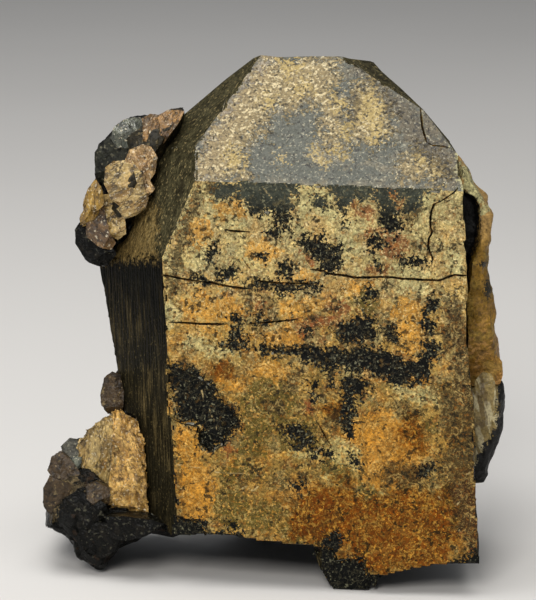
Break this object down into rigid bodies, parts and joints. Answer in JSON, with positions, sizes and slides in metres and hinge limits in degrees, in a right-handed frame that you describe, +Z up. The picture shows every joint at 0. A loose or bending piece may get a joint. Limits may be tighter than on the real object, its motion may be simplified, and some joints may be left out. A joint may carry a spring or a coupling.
{
  "type": "gadolinite specimen",
  "caption": "Stout wedge-topped gadolinite crystal with ochre-crusted black faces, broken at the base, with feldspar, quartz and dark matrix grown on its sides.",
  "frame": {"origin": "centre of the specimen's bounding box in plan, on the surface it stands on", "axes": "+Z up along the crystal's height, -Y towards the large front face, +X to the right as the front face is seen"},
  "size_m": [0.0724, 0.042, 0.0795],
  "materials": {
    "gadolinite": "black vitreous mineral under a thin, patchy ochre and rust alteration crust",
    "dark_matrix": "black broken rock with a semi-gloss fracture",
    "feldspar": "tan to golden feldspar with cleavage steps",
    "stained_feldspar": "feldspar stained amber by iron",
    "quartz": "grey-tan glassy quartz"
  },
  "bodies": {
    "root": {"gadolinite_crystal": "gadolinite", "lower_feldspar": "feldspar", "brown_knob": "feldspar", "upper_feldspar": "feldspar", "upper_dark_matrix": "dark_matrix", "amber_grain": "stained_feldspar", "right_feldspar": "stained_feldspar", "right_quartz": "quartz"}
  },
  "joints": []
}
